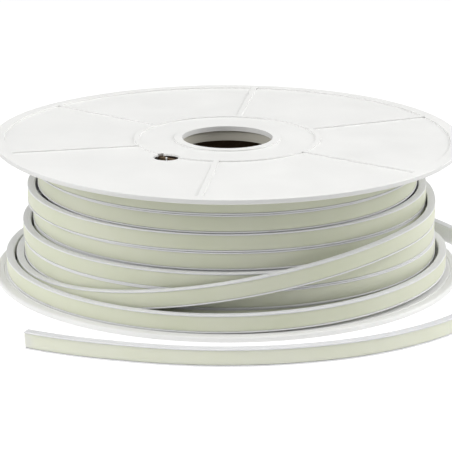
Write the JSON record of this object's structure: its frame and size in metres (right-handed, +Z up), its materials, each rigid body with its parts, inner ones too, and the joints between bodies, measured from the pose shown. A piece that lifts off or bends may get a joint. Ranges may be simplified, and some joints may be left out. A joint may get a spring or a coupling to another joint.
{
  "type": "reel of flexible led strip",
  "caption": "Flat-lying white plastic reel wound with flexible milky LED strip, its free end curving across the floor in front.",
  "frame": {"origin": "on the reel's axis, at the level of the floor it lies on", "axes": "+Z up along the reel's axis, -Y towards the front, where the strip's free end lies, +X to the right as seen from the front"},
  "size_m": [0.3363, 0.354, 0.0905],
  "materials": {
    "reel_plastic": "satin moulded white plastic",
    "hub_board": "dull brown wound cardboard",
    "strip_silicone": "satin milky silicone"
  },
  "bodies": {
    "root": {"top_flange": "reel_plastic", "bottom_flange": "reel_plastic", "hub_tube": "hub_board", "strip_core": "strip_silicone", "strip_inner_turns": "strip_silicone", "strip_outer_turns": "strip_silicone", "strip_tail": "strip_silicone"}
  },
  "joints": []
}
